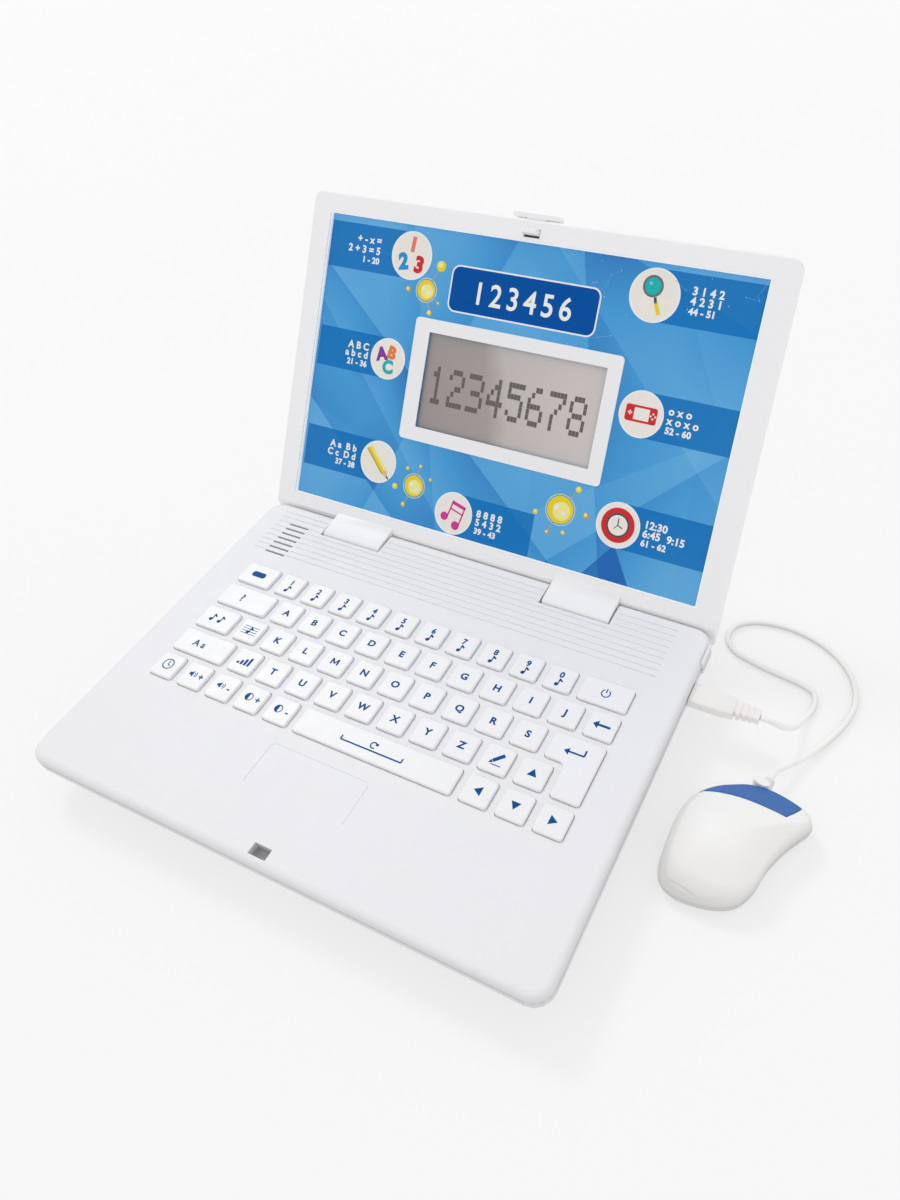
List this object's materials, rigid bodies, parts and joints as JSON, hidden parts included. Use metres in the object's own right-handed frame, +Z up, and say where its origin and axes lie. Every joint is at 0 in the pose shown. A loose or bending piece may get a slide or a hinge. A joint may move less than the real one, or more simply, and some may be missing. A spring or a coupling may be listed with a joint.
{
  "type": "toy laptop computer",
  "caption": "Child's toy laptop: white clamshell base with a full sprung letter keyboard, hinged lid with a small display in a blue picture panel, and a corded two-tone mouse",
  "frame": {"origin": "centre of the base's footprint, on the surface that its four feet stand on", "axes": "+Z up; -Y towards the user; +X to the user's right, the side that the mouse plugs into"},
  "size_m": [0.3666, 0.3197, 0.1842],
  "materials": {
    "white_shell": "satin cool-white moulded plastic",
    "key_white": "smooth white moulded plastic with printed marks",
    "picture_blue": "printed sheet under clear gloss",
    "display_grey": "reflective grey dot display",
    "button_blue": "satin blue moulded plastic",
    "plug_white": "soft warm-white moulding",
    "cord_white": "satin flexible sheath",
    "steel": "plated steel",
    "board_green": "green solder resist",
    "mat_grey": "matt silicone",
    "speaker_black": "black frame and cone",
    "cell_sleeve": "plain printed sleeve"
  },
  "bodies": {
    "base": {"base_top_cover": "white_shell", "base_bottom_cover": "white_shell", "battery_door": "white_shell", "battery_door_screw": "steel", "case_screw_left": "steel", "case_screw_right": "steel", "battery_1": "cell_sleeve", "battery_2": "cell_sleeve", "battery_3": "cell_sleeve", "main_board": "board_green", "key_mat": "mat_grey", "speaker": "speaker_black", "mouse_socket": "steel", "hinge_pin_left": "steel", "hinge_pin_right": "steel"},
    "lid": {"lid_front_bezel": "white_shell", "lid_back_cover": "white_shell", "picture_panel": "picture_blue", "display_module": "display_grey"},
    "latch": {"lid_latch": "white_shell"},
    "mouse_lead": {"mouse_plug": "plug_white", "mouse_cord": "cord_white", "mouse_top_shell": "white_shell", "mouse_bottom_shell": "white_shell", "mouse_board": "board_green"},
    "mouse_button": {"mouse_button": "button_blue"},
    "key_a": {"key_a": "key_white"},
    "key_b": {"key_b": "key_white"},
    "key_c": {"key_c": "key_white"},
    "key_d": {"key_d": "key_white"},
    "key_e": {"key_e": "key_white"},
    "key_f": {"key_f": "key_white"},
    "key_g": {"key_g": "key_white"},
    "key_h": {"key_h": "key_white"},
    "key_i": {"key_i": "key_white"},
    "key_j": {"key_j": "key_white"},
    "key_k": {"key_k": "key_white"},
    "key_l": {"key_l": "key_white"},
    "key_m": {"key_m": "key_white"},
    "key_n": {"key_n": "key_white"},
    "key_o": {"key_o": "key_white"},
    "key_p": {"key_p": "key_white"},
    "key_q": {"key_q": "key_white"},
    "key_r": {"key_r": "key_white"},
    "key_s": {"key_s": "key_white"},
    "key_t": {"key_t": "key_white"},
    "key_u": {"key_u": "key_white"},
    "key_v": {"key_v": "key_white"},
    "key_w": {"key_w": "key_white"},
    "key_x": {"key_x": "key_white"},
    "key_y": {"key_y": "key_white"},
    "key_z": {"key_z": "key_white"},
    "key_enter": {"key_enter": "key_white"},
    "key_space": {"key_space": "key_white"},
    "key_power": {"key_power": "key_white"},
    "key_delete": {"key_delete": "key_white"},
    "key_write": {"key_write": "key_white"},
    "number_keys": {"number_keys": "key_white"},
    "function_keys": {"function_keys": "key_white"},
    "arrow_keys": {"arrow_keys": "key_white"}
  },
  "joints": [
    {"name": "lid_hinge", "type": "hinge", "parent": "base", "child": "lid", "pos_m": [0, 0.0947, 0.0248], "axis": [-1, 0, 0], "range_deg": [-125.2, 4]},
    {"name": "latch_slide", "type": "slide", "parent": "lid", "child": "latch", "axis": [0, -0.5764, -0.8171], "range_m": [0, 0.001], "stiffness_N_per_m": 400, "springref_m": -0.001},
    {"name": "mouse_unplug", "type": "slide", "parent": "base", "child": "mouse_lead", "axis": [1, 0, 0], "range_m": [0, 0.016]},
    {"name": "mouse_button_press", "type": "slide", "parent": "mouse_lead", "child": "mouse_button", "axis": [0, 0, -1], "range_m": [0, 0.0008], "stiffness_N_per_m": 400, "springref_m": -0.0006},
    {"name": "press_a", "type": "slide", "parent": "base", "child": "key_a", "axis": [0, 0, -1], "range_m": [0, 0.0012], "stiffness_N_per_m": 150, "springref_m": -0.0006},
    {"name": "press_b", "type": "slide", "parent": "base", "child": "key_b", "axis": [0, 0, -1], "range_m": [0, 0.0012], "stiffness_N_per_m": 150, "springref_m": -0.0006},
    {"name": "press_c", "type": "slide", "parent": "base", "child": "key_c", "axis": [0, 0, -1], "range_m": [0, 0.0012], "stiffness_N_per_m": 150, "springref_m": -0.0006},
    {"name": "press_d", "type": "slide", "parent": "base", "child": "key_d", "axis": [0, 0, -1], "range_m": [0, 0.0012], "stiffness_N_per_m": 150, "springref_m": -0.0006},
    {"name": "press_e", "type": "slide", "parent": "base", "child": "key_e", "axis": [0, 0, -1], "range_m": [0, 0.0012], "stiffness_N_per_m": 150, "springref_m": -0.0006},
    {"name": "press_f", "type": "slide", "parent": "base", "child": "key_f", "axis": [0, 0, -1], "range_m": [0, 0.0012], "stiffness_N_per_m": 150, "springref_m": -0.0006},
    {"name": "press_g", "type": "slide", "parent": "base", "child": "key_g", "axis": [0, 0, -1], "range_m": [0, 0.0012], "stiffness_N_per_m": 150, "springref_m": -0.0006},
    {"name": "press_h", "type": "slide", "parent": "base", "child": "key_h", "axis": [0, 0, -1], "range_m": [0, 0.0012], "stiffness_N_per_m": 150, "springref_m": -0.0006},
    {"name": "press_i", "type": "slide", "parent": "base", "child": "key_i", "axis": [0, 0, -1], "range_m": [0, 0.0012], "stiffness_N_per_m": 150, "springref_m": -0.0006},
    {"name": "press_j", "type": "slide", "parent": "base", "child": "key_j", "axis": [0, 0, -1], "range_m": [0, 0.0012], "stiffness_N_per_m": 150, "springref_m": -0.0006},
    {"name": "press_k", "type": "slide", "parent": "base", "child": "key_k", "axis": [0, 0, -1], "range_m": [0, 0.0012], "stiffness_N_per_m": 150, "springref_m": -0.0006},
    {"name": "press_l", "type": "slide", "parent": "base", "child": "key_l", "axis": [0, 0, -1], "range_m": [0, 0.0012], "stiffness_N_per_m": 150, "springref_m": -0.0006},
    {"name": "press_m", "type": "slide", "parent": "base", "child": "key_m", "axis": [0, 0, -1], "range_m": [0, 0.0012], "stiffness_N_per_m": 150, "springref_m": -0.0006},
    {"name": "press_n", "type": "slide", "parent": "base", "child": "key_n", "axis": [0, 0, -1], "range_m": [0, 0.0012], "stiffness_N_per_m": 150, "springref_m": -0.0006},
    {"name": "press_o", "type": "slide", "parent": "base", "child": "key_o", "axis": [0, 0, -1], "range_m": [0, 0.0012], "stiffness_N_per_m": 150, "springref_m": -0.0006},
    {"name": "press_p", "type": "slide", "parent": "base", "child": "key_p", "axis": [0, 0, -1], "range_m": [0, 0.0012], "stiffness_N_per_m": 150, "springref_m": -0.0006},
    {"name": "press_q", "type": "slide", "parent": "base", "child": "key_q", "axis": [0, 0, -1], "range_m": [0, 0.0012], "stiffness_N_per_m": 150, "springref_m": -0.0006},
    {"name": "press_r", "type": "slide", "parent": "base", "child": "key_r", "axis": [0, 0, -1], "range_m": [0, 0.0012], "stiffness_N_per_m": 150, "springref_m": -0.0006},
    {"name": "press_s", "type": "slide", "parent": "base", "child": "key_s", "axis": [0, 0, -1], "range_m": [0, 0.0012], "stiffness_N_per_m": 150, "springref_m": -0.0006},
    {"name": "press_t", "type": "slide", "parent": "base", "child": "key_t", "axis": [0, 0, -1], "range_m": [0, 0.0012], "stiffness_N_per_m": 150, "springref_m": -0.0006},
    {"name": "press_u", "type": "slide", "parent": "base", "child": "key_u", "axis": [0, 0, -1], "range_m": [0, 0.0012], "stiffness_N_per_m": 150, "springref_m": -0.0006},
    {"name": "press_v", "type": "slide", "parent": "base", "child": "key_v", "axis": [0, 0, -1], "range_m": [0, 0.0012], "stiffness_N_per_m": 150, "springref_m": -0.0006},
    {"name": "press_w", "type": "slide", "parent": "base", "child": "key_w", "axis": [0, 0, -1], "range_m": [0, 0.0012], "stiffness_N_per_m": 150, "springref_m": -0.0006},
    {"name": "press_x", "type": "slide", "parent": "base", "child": "key_x", "axis": [0, 0, -1], "range_m": [0, 0.0012], "stiffness_N_per_m": 150, "springref_m": -0.0006},
    {"name": "press_y", "type": "slide", "parent": "base", "child": "key_y", "axis": [0, 0, -1], "range_m": [0, 0.0012], "stiffness_N_per_m": 150, "springref_m": -0.0006},
    {"name": "press_z", "type": "slide", "parent": "base", "child": "key_z", "axis": [0, 0, -1], "range_m": [0, 0.0012], "stiffness_N_per_m": 150, "springref_m": -0.0006},
    {"name": "press_enter", "type": "slide", "parent": "base", "child": "key_enter", "axis": [0, 0, -1], "range_m": [0, 0.0012], "stiffness_N_per_m": 150, "springref_m": -0.0006},
    {"name": "press_space", "type": "slide", "parent": "base", "child": "key_space", "axis": [0, 0, -1], "range_m": [0, 0.0012], "stiffness_N_per_m": 150, "springref_m": -0.0006},
    {"name": "press_power", "type": "slide", "parent": "base", "child": "key_power", "axis": [0, 0, -1], "range_m": [0, 0.0012], "stiffness_N_per_m": 150, "springref_m": -0.0006},
    {"name": "press_delete", "type": "slide", "parent": "base", "child": "key_delete", "axis": [0, 0, -1], "range_m": [0, 0.0012], "stiffness_N_per_m": 150, "springref_m": -0.0006},
    {"name": "press_write", "type": "slide", "parent": "base", "child": "key_write", "axis": [0, 0, -1], "range_m": [0, 0.0012], "stiffness_N_per_m": 150, "springref_m": -0.0006},
    {"name": "press_number_keys", "type": "slide", "parent": "base", "child": "number_keys", "axis": [0, 0, -1], "range_m": [0, 0.0012], "stiffness_N_per_m": 450, "springref_m": -0.0006},
    {"name": "press_function_keys", "type": "slide", "parent": "base", "child": "function_keys", "axis": [0, 0, -1], "range_m": [0, 0.0012], "stiffness_N_per_m": 450, "springref_m": -0.0006},
    {"name": "press_arrow_keys", "type": "slide", "parent": "base", "child": "arrow_keys", "axis": [0, 0, -1], "range_m": [0, 0.0012], "stiffness_N_per_m": 300, "springref_m": -0.0006}
  ]
}
